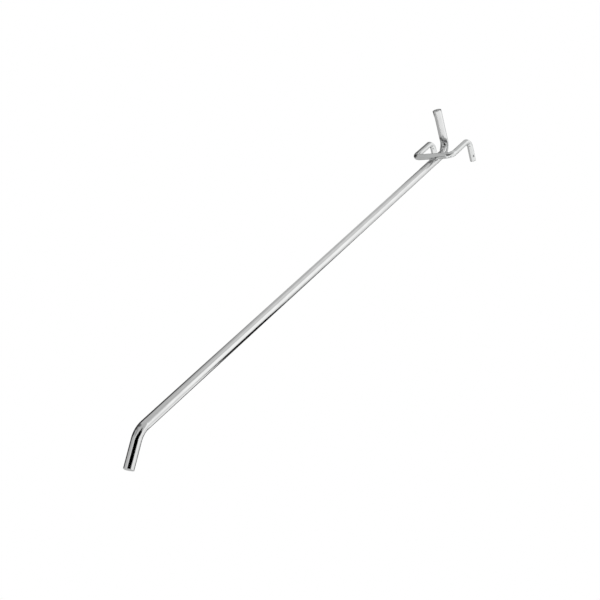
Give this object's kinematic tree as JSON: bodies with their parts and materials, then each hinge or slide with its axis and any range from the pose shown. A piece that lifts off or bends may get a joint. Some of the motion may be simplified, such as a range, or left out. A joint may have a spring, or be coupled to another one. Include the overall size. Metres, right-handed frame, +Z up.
{
  "type": "pegboard hook",
  "caption": "Welded wire display hook: a long straight prong with an upturned tip, a leg that rests on the board, and a thin cross wire whose ends hang in the board's holes.",
  "frame": {"origin": "midway between the two pins, level with their axes, on the board's front face", "axes": "+Y into the board along the pins, -Y out along the prong, +Z up, X from pin to pin"},
  "size_m": [0.029, 0.3503, 0.0395],
  "materials": {
    "bright_plate": "bright plated drawn steel wire, faint draw lines, cropped ends",
    "bright_plate_thin": "bright plated drawn steel wire, a little greyer, cropped ends",
    "plated_weld": "plated over weld metal, slightly rough"
  },
  "bodies": {
    "root": {"prong_rod": "bright_plate", "cross_wire": "bright_plate_thin", "weld_collar": "plated_weld"}
  },
  "joints": []
}
